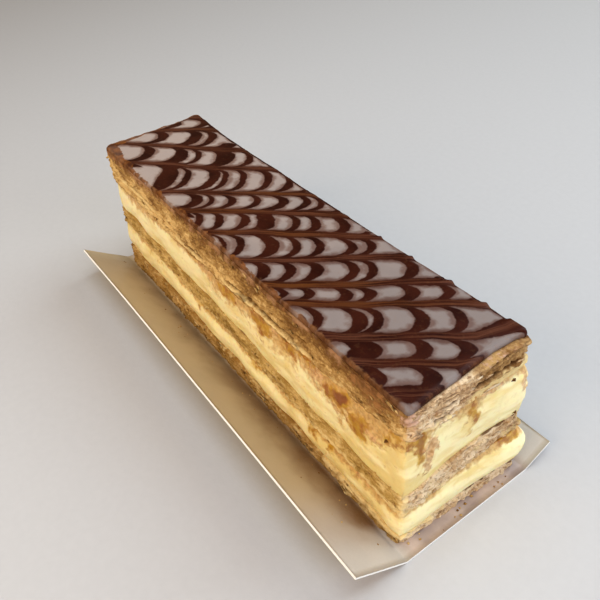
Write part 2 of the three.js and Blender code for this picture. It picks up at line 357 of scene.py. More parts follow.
def in_row(x, y, height):
    """The row frame's place of a point of the slice, which leans and widens towards its foot."""
    u, v = x / SLICE_LENGTH, y / SLICE_WIDTH
    fall = 1 - height / SLICE_HEIGHT
    lean = []
    for (far_left, near_left), (far_right, near_right) in (FOOT_LEAN_X, FOOT_LEAN_Y):
        left = far_left + (near_left - far_left) * u
        right = far_right + (near_right - far_right) * u
        lean.append(left + (right - left) * v)
    return np.stack(
        [
            card_low.x + SLICE_FROM_CARD_END + x + fall * lean[0],
            card_left_fold + SLICE_FROM_FOLD + y + fall * lean[1],
            CARD_THICKNESS + height,
        ],
        -1,
    )


def slice_outline(step):
    """Points round the slice: x, y, outward x and y, and distance from the far left corner."""
    radius = CORNER_RADIUS
    long_side, short_side = SLICE_LENGTH - 2 * radius, SLICE_WIDTH - 2 * radius
    points = []
    around = 0
    at = np.array([radius, 0.0])
    for turn, length in enumerate((long_side, short_side, long_side, short_side)):
        ahead = np.array([math.cos(turn * math.pi / 2), math.sin(turn * math.pi / 2)])
        outward = np.array([ahead[1], -ahead[0]])
        count = round(length / step)
        for i in range(count):
            far = length * i / count
            points.append((*(at + ahead * far), *outward, around + radius + far))
        at = at + ahead * length
        around += length + 2 * radius
        for i in range(CORNER_POINTS):
            angle = math.pi / 2 * i / CORNER_POINTS
            facing = outward * math.cos(angle) + ahead * math.sin(angle)
            place = at - outward * radius + facing * radius
            points.append((*place, *facing, around + radius * (2 * i / CORNER_POINTS - 1)))
        at = at - outward * radius + ahead * radius
    return np.array(points).T


def between(values, start, full, fading, end):
    """1 from full to fading and 0 before start and after end, with a smooth slope on both sides."""
    return fade(values, start, full) * (1 - fade(values, fading, end))


def hump(away):
    """1 where it is 0 away, and smoothly less on both sides."""
    return np.exp(-(away**2))


class Skin:
    """The points of a layer's skin, ring by ring: from the middle of its underside, up its side,
    to the middle of its top. Each array has a row for each ring and a column round the slice."""

    def __init__(self, bottom, top, shares, top_insets=COVER_INSETS, step=OUTLINE_STEP):
        x, y, self.out_x, self.out_y, around = slice_outline(step)
        middle = SLICE_WIDTH / 2
        under = [middle, *reversed(COVER_INSETS)]
        over = [*top_insets, middle]
        inset = np.array([*under, *[0] * len(shares), *over])[:, None]
        share = np.array([*[0] * len(under), *shares, *[1] * len(over)])[:, None]
        self.x = SLICE_LENGTH / 2 + (x - SLICE_LENGTH / 2) * (1 - 2 * inset / SLICE_LENGTH)
        self.y = middle + (y - middle) * (1 - inset / middle)
        self.around = np.broadcast_to(around, self.x.shape)
        self.inset = np.broadcast_to(inset, self.x.shape)
        self.share = np.broadcast_to(share, self.x.shape)
        self.bottom = bottom(self.x, self.y)
        self.thickness = top(self.x, self.y) - self.bottom
        self.height = self.bottom + self.thickness * self.share
        self.drop = SLICE_HEIGHT - self.height
        corners = np.array([0, NEAR_LEFT, NEAR_RIGHT, FAR_RIGHT])
        self.to_corner = np.abs(corners[:, None, None] - self.around).min(0)
        near_end = (NEAR_LEFT - 3, NEAR_LEFT + 1, NEAR_RIGHT - 2, NEAR_RIGHT + 2)
        self.near_end = between(self.around, *near_end)

    def places(self, height=None):
        """Places in the slice, to read unevenness at, with the real height or another third part."""
        third = self.height if height is None else height
        return np.stack(np.broadcast_arrays(self.x, self.y, third), -1)

    def lumps(self, size, seed, height=None):
        """Smooth unevenness of the skin, from -1 to 1."""
        return lumps(self.places(height), size, seed)

    def read(self, table):
        """A value at each point, from pairs of a place round the slice and the value there."""
        return np.interp(self.around, *zip(*table))

    def piece(self, name, push, paints, material, slot, lift=0):
        """The skin, pushed out and lifted by some mm, as a closed piece that carries paints."""
        near_edge = np.clip(1 - self.inset / PUSH_REACH, 0, 1)
        self.surface = in_row(
            self.x + self.out_x * push * near_edge,
            self.y + self.out_y * push * near_edge,
            self.height + lift,
        )
        rings, columns = self.x.shape
        index = np.arange(rings * columns).reshape(rings, columns)
        for end in (0, -1):
            # The innermost ring is folded shut along the slice's middle line.
            places = np.round(np.stack([self.x[end], self.y[end]], -1), 3)
            _, first, same = np.unique(places, axis=0, return_index=True, return_inverse=True)
            index[end] = index[end][first][same.ravel()]
        beside = np.roll(index, -1, axis=1)
        quads = np.stack([index[:-1], beside[:-1], beside[1:], index[1:]], -1).reshape(-1, 4)
        used, quads = np.unique(quads, return_inverse=True)
        quads = quads.reshape(-1, 4)
        faces = [tuple(dict.fromkeys(quad)) for quad in quads.tolist()]
        faces = [face for face in faces if len(face) > 2]
        corners = self.surface.reshape(-1, 3)[used]
        paints = {
            paint: np.broadcast_to(values, self.x.shape).ravel()[used]
            for paint, values in paints.items()
        }
        return make_piece(name, corners, faces, [material], paints)


def flaky_cut(skin, stand_out, seed):
    """How far the edges of the leaves stand out of a slab's side, and the paints of that side."""
    wavy = 0.34 * skin.lumps(8, seed, 0.25 * skin.height)
    wavy += 0.14 * skin.lumps(2.1, seed + 1)
    level = (skin.height - skin.bottom + wavy) / LEAF_THICKNESS
    leaf, seam = np.floor(level), np.round(level)
    own = skin.places(50 * leaf)
    in_seam = skin.places(50 * seam + 20)
    ragged = 0.2 * lumps(own, 6, seed + 2) + 0.2 * lumps(own, 1.1, seed + 3)
    crumbly = (0.15 + 0.12 * skin.near_end) * skin.lumps(0.8, seed + 11)
    flake = 0.6 * fade(lumps(own, 3.2, seed + 4), 0.45, 0.8)
    chipped = 0.9 * fade(lumps(own, 1.6, seed + 13), -0.2, 0.6) * hump(skin.to_corner / 1.2)
    parted = fade(lumps(in_seam, 6, seed + 5), 0.2, 0.8)
    seam_width = 0.16 + 0.14 * parted
    seam_depth = (0.1 + 0.9 * parted) * hump((level - seam) / seam_width)
    pore = fade(skin.lumps(0.85, seed + 6, 1.8 * skin.height), 0.4, 0.8)
    pore *= 0.5 * fade(skin.lumps(5, seed + 7), -0.2, 0.5)
    recess = seam_depth + pore
    tone = 0.5 + 0.16 * lumps(own, 9, seed + 8) + 0.12 * lumps(own, 2.2, seed + 9)
    tone += 0.25 * skin.lumps(4.5, seed + 12)
    edge = np.minimum(skin.share, 1 - skin.share) * skin.thickness
    past_end = np.abs(skin.around - (NEAR_LEFT + NEAR_RIGHT) / 2) - SLICE_WIDTH / 2
    paints = {
        "tone": np.clip(tone, 0, 1),
        # Painted shade, with browner edges, in the seams between leaves, and painted shade in the
        # pores.
        "recess": np.clip(0.9 * seam_depth + 0.5 * pore, 0, 1),
        "crust": 1 - fade(edge + 0.25 * skin.lumps(2, seed + 10), 0.1, 0.9),
        "leaf": level,
        "along": skin.around,
        # The near end is painted paler, for the stronger light on it.
        "lit_end": 1 - fade(past_end + 0.8 * lumps(own, 2, seed + 14), -1, 1),
    }
    return stand_out + ragged + crumbly + flake - chipped - recess, paints


def smears(skin, spots, seed):
    """How strongly each point is covered by spots, given as the place round the slice, the drop
    from its top, half the length, half the height, and the strength."""
    cover = np.zeros(skin.x.shape)
    ragged = 0.5 * skin.lumps(1.7, seed) + 0.2 * skin.lumps(0.6, seed + 1)
    for around, drop, half_length, half_height, strength in spots:
        away = np.hypot((skin.around - around) / half_length, (skin.drop - drop) / half_height)
        cover = np.maximum(cover, strength * (1 - fade(away + ragged, 0.3, 1.3)))
    return cover


def pastry_finish(name, pale, middle, dark, crust):
    """Baked dough: tan leaves that differ in tone, darker between them, for browner edges and painted
    shade, and where they baked brown.
    The near end is painted paler and pinker, for the stronger light that falls on it."""
    finish = Finish(name, Specular_IOR_Level=0.12)
    along, leaf = finish.painted("along"), finish.painted("leaf")
    veins = finish.streaks((along, 0.35), (leaf, 1.3), 4, roughness=0.6)
    patches = finish.uneven(3.6, 3, -0.3, 0.3, (1.3, 1.3, 0.8))
    crumbs = finish.uneven(0.6, 3, -0.18, 0.18)
    tone = finish.sum(finish.sum(finish.painted("tone"), patches), crumbs)
    tone = finish.sum(tone, finish.rise(veins, 0.3, 0.7, -0.12, 0.12))
    finish.set("Base Color", finish.blend(finish.rise(tone, 0, 0.5), dark, middle))
    finish.lay(finish.rise(tone, 0.45, 1), pale)
    finish.lay(finish.rise(finish.painted("crust"), 0, 1, 0, 0.5), crust)
    cut = finish.blend(finish.rise(tone, -0.1, 0.4), colour(146, 110, 74), colour(198, 164, 122))
    cut = finish.blend(finish.rise(tone, 0.35, 0.95), cut, colour(224, 200, 164))
    toasted = finish.blend(finish.rise(tone, 0, 0.8), colour(118, 80, 38), colour(176, 138, 86))
    cut = finish.blend(finish.painted("toasted"), cut, toasted)
    # Each small hole between the leaves at the near end is painted as a dark spot of shade.
    hole_shade = finish.rise(finish.grain(0.7, 2), 0.55, 0.66, 0, 0.55)
    cut = finish.blend(hole_shade, cut, colour(118, 82, 48))
    # The near end is painted paler and pinker, for the stronger light on it.
    finish.lay(finish.painted("lit_end"), cut)
    ragged = finish.uneven(0.9, 4, -0.35, 0.35)
    blots = finish.uneven(1.7, 3, -0.25, 0.25)
    finish.lay(finish.stain("cream", blots, 0.2, 0.9, 0.85), colour(230, 204, 144))
    # Painted shade in the seams, pores, gaps and open splits; the same dark colour marks the burnt
    # crumbs.
    finish.lay(finish.rise(finish.painted("recess"), 0.1, 0.9, 0, 0.9), colour(92, 58, 28))
    finish.lay(finish.stain("amber", ragged, 0.2, 0.95, 0.85), colour(170, 106, 28))
    # The icing that was dragged down over the upper edge, white and brown by turns.
    under_line = finish.rise(finish.sum(finish.painted("inside"), blots), -1, 0.6)
    run_tint = finish.blend(under_line, colour(172, 130, 96), colour(80, 42, 16))
    finish.lay(finish.stain("run", ragged, 0.15, 1.05, 0.85), run_tint)
    caramel = finish.mottled(1.8, colour(104, 66, 34), colour(156, 108, 62))
    finish.lay(finish.stain("glaze", ragged, 0.2, 0.9, 0.85), caramel)
    finish.lay(finish.stain("fondant", ragged, 0.3, 0.9, 0.85), colour(198, 160, 138))
    finish.set("Roughness", finish.uneven(0.8, 3, 0.62, 0.88))
    flakes = finish.bump(finish.grain(0.7, 4, (1.4, 1.4, 0.5)), 0.14)
    finish.set("Normal", finish.bump(veins, 0.08, flakes))
    return finish.material


# Shade painted where gaps have opened over the slab: place round the slice, drop from its top, half
# the length, half the height, and the strength.
BOTTOM_GAP_SHADOWS = ((150, 37.3, 5, 0.5, 1.3), (156, 36.9, 3.5, 0.5, 1.2), (159.3, 38, 0.9, 1.3, 1.2))
pastry_bottom_top = sagging(layer_top((6.7, 4.2, 2.6), (6.7, 5.0, 4.6)), 0.4)
on_card = layer_top((0, 0, 0), (0, 0, 0))
skin = bottom_skin = Skin(on_card, pastry_bottom_top, np.linspace(0, 1, BOTTOM_SLAB_RINGS))
push, paints = flaky_cut(skin, 0.35 - 0.5 * skin.near_end, 11)
paints["cream"] = (0.3 + 0.4 * skin.lumps(4, 15)) * fade(skin.share, 0.4, 1)
# Towards the near end, custard has been dragged down over the slab.
paints["cream"] += 0.4 * between(skin.around, 98, 112, 136, 150)
# Its near end is painted paler still, for the stronger light there.
paints["tone"] += 0.15 + 0.15 * skin.near_end
paints["crust"] = paints["crust"] * (1 - skin.near_end)
paints["recess"] = np.maximum(paints["recess"], smears(skin, BOTTOM_GAP_SHADOWS, 21))
dark_pastry = pastry_finish(
    "bottom_pastry",
    pale=colour(192, 154, 96),
    middle=colour(160, 122, 62),
    dark=colour(114, 82, 34),
    crust=colour(122, 84, 32),
)
bottom_slab = skin.piece("bottom_slab", push, paints, dark_pastry, "pastry")
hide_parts("pastry_bottom")


# ---------------------------------------------------------------------------------------------
# Lower custard
# A layer of set custard, spread on the bottom slab and cut through with it. It swells a little
# between the slabs, and bulges most at the near right corner.

# How far a custard sinks into the slab below, how far its cut lies back from the slabs, and the
# step between the points round it.
CUSTARD_OVERLAP = 0.25
CUSTARD_SET_BACK = 0.5
CUSTARD_STEP = 0.4
LOWER_CUSTARD_RINGS = 34


def sunk_into(top, depth):
    """The underside of a layer that sinks some mm into the top of the one below."""
    return lambda x, y: top(x, y) - depth


def soft_cut(skin, swell, squeeze, seed):
    """How far a custard's cut side stands out, and the paints of that side."""
    bulge = swell * np.sin(math.pi * skin.share)
    uneven = 0.4 * skin.lumps(9, seed) + 0.14 * skin.lumps(2.6, seed + 1)
    dragged = 0.12 * skin.lumps(4, seed + 2, 3 * skin.height)
    near_corner = hump((skin.around - NEAR_RIGHT) / 9)
    bulge = bulge + squeeze * near_corner * np.sin(math.pi * (skin.share + 0.25) / 1.5)
    worn = (0.4 + 0.3 * skin.lumps(2.2, seed + 5)) * hump(skin.to_corner / 1.3)
    pit = 0.3 * fade(skin.lumps(0.7, seed + 3), 0.72, 0.9)
    tone = 0.25 + 0.35 * skin.lumps(12, seed + 4, 3 * skin.height)
    # Painted shade under the slabs, with juice from them, deepens its colour towards its top and
    # bottom edges.
    tone += 0.55 * np.abs(2 * skin.share - 1) ** 3
    paints = {"tone": np.clip(tone, 0, 1), "recess": np.clip(pit / 0.3, 0, 1)}
    return bulge + uneven + dragged - worn - pit - CUSTARD_SET_BACK, paints


def clinging(skin, reach, seed):
    """How much of the slab above clings to a custard's side: all at its upper edge, and less over
    some mm, given as the place round the slice and the reach there."""
    ragged = 1 + 0.45 * skin.lumps(5, seed) + 0.3 * skin.lumps(1.8, seed + 1)
    below = (1 - skin.share) * skin.thickness / (skin.read(reach) * ragged)
    return 1 - fade(below, 0.25, 1.15)


def custard_finish(name, pale, deep):
    """Set custard: moist, a little see-through, smeared with caramel juice and pastry crumbs."""
    finish = Finish(
        name,
        Specular_IOR_Level=0.45,
        Subsurface_Weight=0.35,
        Subsurface_Radius=(1.0, 0.6, 0.25),
        Subsurface_Scale=2 * MM,
    )
    mottling = finish.uneven(3, 4, -0.4, 0.4, (2.4, 2.4, 0.8))
    finish.set("Base Color", finish.blend(finish.stain("tone", mottling, 0.1, 1, 1), pale, deep))
    # Painted shade in the small pits.
    finish.lay(finish.rise(finish.painted("recess"), 0, 1, 0, 0.4), colour(190, 138, 62))
    ragged = finish.uneven(1.3, 4, -0.3, 0.3)
    flecks = finish.rise(finish.grain(0.9, 4), 0.35, 0.65)
    clinging_tint = finish.blend(flecks, colour(176, 128, 62), colour(212, 168, 100))
    finish.lay(finish.stain("clings", ragged, 0.1, 0.95, 0.88), clinging_tint)
    finish.lay(finish.rise(finish.painted("amber"), 0.05, 0.8, 0, 0.5), colour(212, 164, 62))
    juice = finish.mottled(2.2, colour(150, 86, 8), colour(188, 142, 26))
    juice = finish.blend(finish.rise(finish.painted("amber"), 0.9, 1.4), juice, colour(128, 64, 2))
    finish.lay(finish.stain("amber", ragged, 0.25, 1, 0.95), juice)
    crumbs = finish.blend(flecks, colour(176, 128, 76), colour(220, 178, 126))
    finish.lay(finish.stain("crumb", ragged, 0.3, 0.85, 0.85), crumbs)
    finish.set("Roughness", finish.uneven(1.2, 3, 0.35, 0.58))
    soft = finish.bump(finish.grain(1.1), 0.1)
    finish.set("Normal", finish.bump(finish.grain(0.2), 0.025, soft))
    return finish.material


# Smears of caramel juice, and of crumbs, given like the gaps of the bottom slab.
LOWER_JUICE = (
    (156.8, 27.7, 3, 1, 1.1),
    (24, 27, 7, 2.5, 0.35),
    (50, 28, 5, 2, 0.4),
    (48, 29, 3, 2, 0.6),
    (77, 29.5, 3, 2.2, 0.7),
    (101, 31.5, 3, 2.6, 0.85),
    (107, 31, 1.6, 3, 0.8),
    (188, 28, 6, 2, 0.5),
    (240, 27, 8, 2, 0.4),
)
LOWER_CRUMBS = (
    (88, 28, 3, 1.2, 0.6),
    (118, 31, 4, 1.4, 0.5),
    (214, 29, 5, 1.6, 0.6),
    (302, 26, 4, 2, 0.5),
)
# How far down the slab above clings, round the slice.
LOWER_CLINGING = ((0, 1.6), (98, 1.6), (115, 2.8), (124, 2.6), (131, 1.5), (150, 1.8), (200, 2))
custard_lower_top = sagging(layer_top((15.9, 12.6, 11.0), (15.7, 13.4, 13.7)), 1.2)
skin = Skin(
    sunk_into(pastry_bottom_top, CUSTARD_OVERLAP),
    custard_lower_top,
    np.linspace(0, 1, LOWER_CUSTARD_RINGS),
    step=CUSTARD_STEP,
)
push, paints = soft_cut(skin, 0.9, 2.2, 101)
paints["amber"] = smears(skin, LOWER_JUICE, 131)
paints["crumb"] = smears(skin, LOWER_CRUMBS, 141)
paints["clings"] = clinging(skin, LOWER_CLINGING, 151)
# Along the nearer part of the left side, its colour is deeper.
paints["tone"] += 0.6 * between(skin.around, 85, 105, 124, 130)
custard = custard_finish("custard", colour(252, 237, 182), colour(234, 210, 138))
lower_custard = skin.piece("lower_custard", push, paints, custard, "custard")
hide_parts("custard_lower")


# ---------------------------------------------------------------------------------------------
# Middle slab of puff pastry
# The thinnest slab, of the same leaves of dough, damp from the custard on both sides. Its sides are
# painted darker for the damp and for the shade between the custards. It was laid on the lower
# custard and cut through with it, and it sags with it.

MIDDLE_SLAB_RINGS = 42
# Shade painted where gaps have opened round the slab, given like those of the bottom slab.
MIDDLE_GAP_SHADOWS = (
    (152.5, 21.5, 3, 0.6, 1.3),
    (158.6, 21.2, 1.2, 0.9, 1.3),
    (88, 27.6, 4, 0.8, 0.6),
    (68, 27, 6, 0.7, 0.5),
)
pastry_middle_top = sagging(layer_top((20.6, 17.6, 16.8), (20.6, 19.0, 19.9)), 1.6)
skin = middle_skin = Skin(custard_lower_top, pastry_middle_top, np.linspace(0, 1, MIDDLE_SLAB_RINGS))
push, paints = flaky_cut(skin, 0.0, 211)
paints["cream"] = 0.15 + 0.3 * skin.lumps(3, 215) + 0.3 * (1 - fade(skin.share, 0, 0.4))
paints["cream"] += 0.7 * hump((skin.around - NEAR_LEFT) / 2.5)
on_left_side = 1 - fade(skin.y, 0, 1)
# Towards the near end, custard has been dragged up over the slab's lower leaves.
paints["cream"] += 0.5 * on_left_side * fade(skin.x, 85, 105) * (1 - fade(skin.share, 0.1, 0.4))
lower_darker = 0.35 * (skin.share - 0.8) * fade(skin.x, 40, 60)
right_darker = 0.3 - 0.4 * fade(skin.around, 138, 154)
paints["tone"] += 0.1 + lower_darker + right_darker * skin.near_end
paints["crust"] = 0.6 * paints["crust"] * (1 - skin.near_end)
paints["recess"] = np.maximum(paints["recess"], smears(skin, MIDDLE_GAP_SHADOWS, 221))
# Darker colours for the damp, and painted shade between the custards, on the slab's sides.
damp_and_shaded_pastry = pastry_finish(
    "middle_pastry",
    pale=colour(206, 173, 108),
    middle=colour(173, 139, 74),
    dark=colour(132, 101, 46),
    crust=colour(126, 90, 40),
)
middle_slab = skin.piece("middle_slab", push, paints, damp_and_shaded_pastry, "pastry")
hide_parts("pastry_middle")


# ---------------------------------------------------------------------------------------------
# Upper custard
# The thicker layer of custard. The knife has dragged caramel juice and crumbs of the top slab
# down over its cut sides.

UPPER_CUSTARD_RINGS = 46
UPPER_JUICE = (
    (101, 10.5, 4, 2.2, 0.8),
    (110, 13, 5, 3.6, 1.15),
    (111.5, 12.6, 3, 2.6, 1.6),
    (117.3, 15.5, 3.8, 3.6, 1.05),
    (82, 13, 5, 3.8, 1),
    (93, 12.5, 4.8, 3.2, 1),
    (67, 13.5, 5, 3, 0.9),
    (126.5, 11.5, 3.5, 2.6, 0.7),
    (131.4, 9.8, 2.6, 2.6, 0.75),
    (133.7, 13, 1.4, 6.5, 1.2),
    (136.4, 14.5, 1.8, 5.5, 0.55),
    (146.2, 12.5, 1.6, 5.5, 0.85),
    (50, 12, 6, 1.4, 0.5),
    (30, 12, 6, 1.4, 0.4),
    (178, 11, 5, 3, 0.9),
    (203, 11, 7, 2.4, 0.7),
    (248, 12, 5, 3, 0.8),
    (306, 12, 3, 4, 0.8),
)
UPPER_CRUMBS = (
    (103, 13, 3, 3, 0.8),
    (110, 16.5, 2.5, 1.6, 0.9),
    (121, 15, 3, 1.4, 0.8),
    (136, 15.4, 2.2, 4.8, 1.6),
    (143.5, 9.5, 2, 1.4, 0.5),
    (159.5, 11.5, 1.6, 4, 0.8),
    (151, 8.5, 6, 1.2, 0.9),
    (120, 19, 2.5, 1, 0.6),
    (87, 12, 3, 1.2, 0.8),
    (73, 12, 3, 1.2, 0.7),
    (56, 12, 5, 1.2, 0.7),
    (190, 11, 4, 2.5, 0.9),
    (226, 11.5, 6, 2, 0.8),
    (270, 11, 5, 3, 0.7),
    (298, 11, 4, 3, 0.8),
)
UPPER_CLINGING = (
    (0, 2.6), (22, 3), (35, 1.8), (52, 3), (62, 6.5), (95, 8), (112, 11), (122, 10), (127, 4),
    (131, 5.5), (148, 5), (151, 2.6), (157, 2.4), (161, 5), (175, 3), (320, 3),
)
custard_upper_top = layer_top((30.2, 29.4, 33.0), (30.2, 30.4, 33.2))
skin = custard_skin = Skin(
    sunk_into(pastry_middle_top, CUSTARD_OVERLAP),
    custard_upper_top,
    np.linspace(0, 1, UPPER_CUSTARD_RINGS),
    step=CUSTARD_STEP,
)
push, paints = soft_cut(skin, 0.6, 1.3, 307)
paints["amber"] = smears(skin, UPPER_JUICE, 331)
paints["crumb"] = smears(skin, UPPER_CRUMBS, 341)
# Round the near left corner, its colour is deeper.
paints["tone"] += 0.5 * between(skin.around, 108, 118, 131, 137)
paints["clings"] = clinging(skin, UPPER_CLINGING, 361)
push += 0.2 * paints["clings"] * skin.lumps(0.9, 371)
push += 0.35 * paints["crumb"] * (0.6 + skin.lumps(0.9, 351))
push += 0.2 * paints["amber"]
upper_custard = skin.piece("upper_custard", push, paints, custard, "custard")
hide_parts("custard_upper")


# ---------------------------------------------------------------------------------------------
# Icing
# White fondant, flooded over the top slab. Lines of chocolate fondant are piped aslant across it
# while it is wet. A pick drawn against each line, row after row, drags them into feathers.

PASTRY_TOP = 39.4
ICING_TOP = 40.7
ICING_OVERLAP = 0.15
# The icing's rounded edge: shares of its thickness, and how far the edge lies back there.
ICING_EDGE = ((0, 0.3), (0.3, 0.06), (0.55, 0.05), (0.75, 0.14), (0.9, 0.34), (1, 0.6))
# The first rings of points in from the edge, and the step between the others.
FACE_INSETS = (0.25, 0.45, 0.65, 0.9, 1.1)
FACE_STEP = 0.21
PIPING_SLANT = math.radians(48)
# The pick's strokes. Each is a line of points: how far across the piping and along it, half the
# width of the smear there, and the share of caramel in it.
STROKES = (
    ((10, -17.5, 0.9, 0), (27, -18.5, 1.2, 0)),
    ((5, -9.5, 0.8, 0), (15, -9.8, 1.2, 0), (28, -10, 1.6, 0.2)),
    ((4, -1.5, 0.9, 0), (16, 0, 1.0, 0), (24, 1.2, 1.4, 0), (36, 3, 1.6, 0.2)),
    ((9, 10, 0.8, 0), (22, 11.5, 1.0, 0), (36, 13.5, 1.2, 0), (46, 14, 1.2, 0), (54, 14.5, 1.9, 0)),
    ((24, 26, 0.9, 0), (40, 26.5, 1.1, 0.1), (50, 26.8, 1.0, 0.4), (56, 27, 1.2, 0.8),
     (62, 27, 1.7, 0.3)),
    ((30, 34.5, 0.9, 0.3), (40, 35, 1.3, 0.8), (50, 35.7, 1.3, 0.5), (58, 36, 1.1, 0),
     (70, 36.5, 1.9, 0.3)),
    ((38, 44.5, 1.4, 0.2), (46, 44.5, 1.2, 0.6), (52, 44.5, 1.4, 0.1), (59, 44.8, 1.4, 0.7),
     (78, 45.5, 1.4, 0)),
    ((50, 55.5, 1.0, 0), (65, 54.8, 1.2, 0), (88, 53, 1.4, 0)),
    ((57, 63.8, 1.1, 0.8), (66, 63.5, 1.3, 0.9), (76, 63.1, 1.2, 0.7), (84, 62.4, 1.0, 0.1),
     (95, 61.5, 1.6, 0)),
    ((60, 69.8, 1.0, 0.6), (74, 69.4, 1.2, 0.8), (88, 69, 1.1, 0.6), (100, 68.3, 1.4, 0.1)),
    ((70, 79, 1.7, 0), (76, 78.9, 1.3, 0), (90, 78.3, 1.0, 0), (100, 77.5, 1.4, 0),
     (109, 73.4, 3.8, 0)),
    ((76, 85.5, 2.2, 0), (84, 85.4, 1.3, 0), (90, 85.3, 1.2, 0.3), (99, 84.8, 1.4, 0.1)),
    ((80, 93, 1.9, 0), (92, 92.5, 2.2, 0)),
)
# The middle of each row between two strokes, along the piping.
ROWS = (-14, -5, 6, 20, 31, 40, 50, 58.5, 66.5, 73.5, 81.5, 89)
# The piped lines: the number, from 0, of the first row that each crosses, and then, row by row,
# how far across the piping it is there, and its width.
PIPED = (
    (0, (17.7, 3.2), (15.6, 2.7), (14, 3.2)),
    (0, (27, 3), (25.9, 3.2), (24.2, 3.9), (23.6, 5.2)),
    (1, (31, 2.4), (29.6, 1.3), (29.1, 1.7)),
    (2, (37.8, 5.0), (36.5, 2.5), (34.6, 2.7)),
    (3, (39.9, 1.4), (38.6, 1.2), (37.3, 1.7)),
    (2, (44.8, 2.0), (44.8, 1.6), (44.2, 1.9), (42.6, 1.7), (45.5, 1.0)),
    (3, (51.7, 1.8), (50.5, 1.5), (49, 2.0), (49.5, 1.5)),
    (3, (57.5, 2), (57.3, 2.3), (54, 4.0), (57.1, 3.2), (56.7, 2.5)),
    (4, (63.3, 1.8), (61.4, 1.7), (62.7, 1.5), (62.6, 2.2), (61.9, 1.8)),
    (4, (67, 1.5), (66.2, 1.9), (67.9, 1.8), (68.3, 2.3), (67.5, 2.0), (69.6, 2.0)),
    (5, (72.6, 2.3), (75.5, 2.0), (76, 2.0), (75.3, 2.3), (77.9, 2.6), (78.4, 3.2), (80.9, 4.9)),
    (6, (79.7, 1.7), (80, 1.6), (80.1, 2.2), (81.6, 1.7), (81.3, 2.6)),
    (7, (88.5, 2.5), (88.4, 2.8), (90, 2.6), (90, 2.7), (91.6, 3.4)),
    (8, (96, 2.0), (97.5, 2.0), (98.4, 2.8)),
)
# How far a stroke drags the piping, and how far beside the stroke it still does, at the far and
# the near end. HALF_ROW is from a stroke to the middle of the next row.
DRAG = 8
DRAG_REACH = (1.25, 0.9)
HALF_ROW = 3.7
# How far a line runs on beyond its rows, how far it has spread in the white, and how much two
# shapes of chocolate round off where they meet.
ROW_REACH = 7
PIPING_SPREAD = 0.14
FLOW = 0.1
# Where the chocolate has pooled: across and along the piping, and radius.
POOLS = (
    (24.5, 12.5, 2), (22.5, 11.5, 2.5), (33, 35, 1.7), (53.5, 38, 2), (78.5, 84, 2.6), (87, 93, 2),
    (91.5, 89.5, 1.6), (94.3, 60.8, 1.2), (100.8, 67.8, 1.4),
)


def flow_together(first, second):
    """Two shapes of wet icing that join with a rounded corner between them."""
    return FLOW * np.logaddexp(first / FLOW, second / FLOW)


def feathering(x, y):
    """The pattern at places of the icing: how far inside the chocolate each is, in mm, how far
    from the nearest stroke and on which side, how far across the piping, and the caramel there."""
    wander = np.stack([x, y, 0 * x], -1)
    fullness = 0.85 + 0.2 * lumps(wander, 7, 505)
    across = x * math.cos(PIPING_SLANT) + y * math.sin(PIPING_SLANT)
    across = across + 0.3 * lumps(wander, 4, 501) + 0.12 * lumps(wander, 1.3, 502)
    along = x * math.sin(PIPING_SLANT) - y * math.cos(PIPING_SLANT)
    along = along + 0.3 * lumps(wander, 5, 503) + 0.1 * lumps(wander, 1.5, 504)
    off = np.full(x.shape, 99.0)
    inside = np.full(x.shape, -9.0)
    caramel = np.zeros(x.shape)
    for stroke in STROKES:
        at, middle, half_width, share = np.array(stroke).T
        off_this = along - np.interp(across, at, middle)
        smear = fullness * np.interp(across, at, half_width) - np.abs(off_this)
        nearest = np.abs(off_this) < np.abs(off)
        caramel = np.where(nearest, np.interp(across, at, share), caramel)
        off = np.where(nearest, off_this, off)
        inside = np.maximum(inside, smear)
    drag_reach = np.interp(x, (0, SLICE_LENGTH), DRAG_REACH)
    undragged = across + DRAG * np.exp(-np.abs(off) / drag_reach)
    drag_at_row_middle = DRAG * np.exp(-HALF_ROW / drag_reach)
    for first_row, *crossed in PIPED:
        rows = ROWS[first_row : first_row + len(crossed)]
        centres, widths = zip(*crossed)
        reach = np.interp(along, rows, widths) / 2 + PIPING_SPREAD
        reach = reach - np.abs(undragged - drag_at_row_middle - np.interp(along, rows, centres))
        # A line tapers off beyond the rows that it crosses.
        beyond = np.maximum(rows[0] - along, along - rows[-1]) - ROW_REACH
        inside = flow_together(inside, np.minimum(reach, -beyond))
    for pool_across, pool_along, radius in POOLS:
        pool = radius - np.hypot(across - pool_across, along - pool_along)
        inside = flow_together(inside, pool)
    return inside, off, undragged, caramel


# Round the slice: how wide the strip of caramel glaze along the icing's edge is, with none where
# it is below 0, and how far the edge runs over the slab's edge, or stays behind it.
EDGE_GLAZE = (
    (0, 2.6), (5, 2.4), (9, 1.1), (11, 0.4), (13, 1.2), (15.5, 1.5), (18, 0.4), (22, 0), (33, 0),
    (36, 0.6), (39, 0), (45, 0), (48, 0.7), (52, 0), (58, 0), (60, 0.5), (63, 0), (72, 0), (75, 0.5),
    (78, 0), (84, 0), (88, 0.4), (92, 0), (126, 0), (129, -1.4), (161, -1.4), (164, -0.6),
    (286, -0.6), (290, 0.4), (305, 0.8), (314, 1.4), (320, 2.6),
)
EDGE_REACH = (
    (0, 0.3), (30, 0.4), (60, 0.3), (100, 0.3), (126, 0.4), (131, 0.5), (136, 0.1), (144, -0.4),
    (152, -1.1), (158, -0.8), (161, 0.3), (180, 0.3), (195, 0), (240, -0.2), (270, 0), (290, 1.3),
    (296, 0.5), (320, 0.3),
)

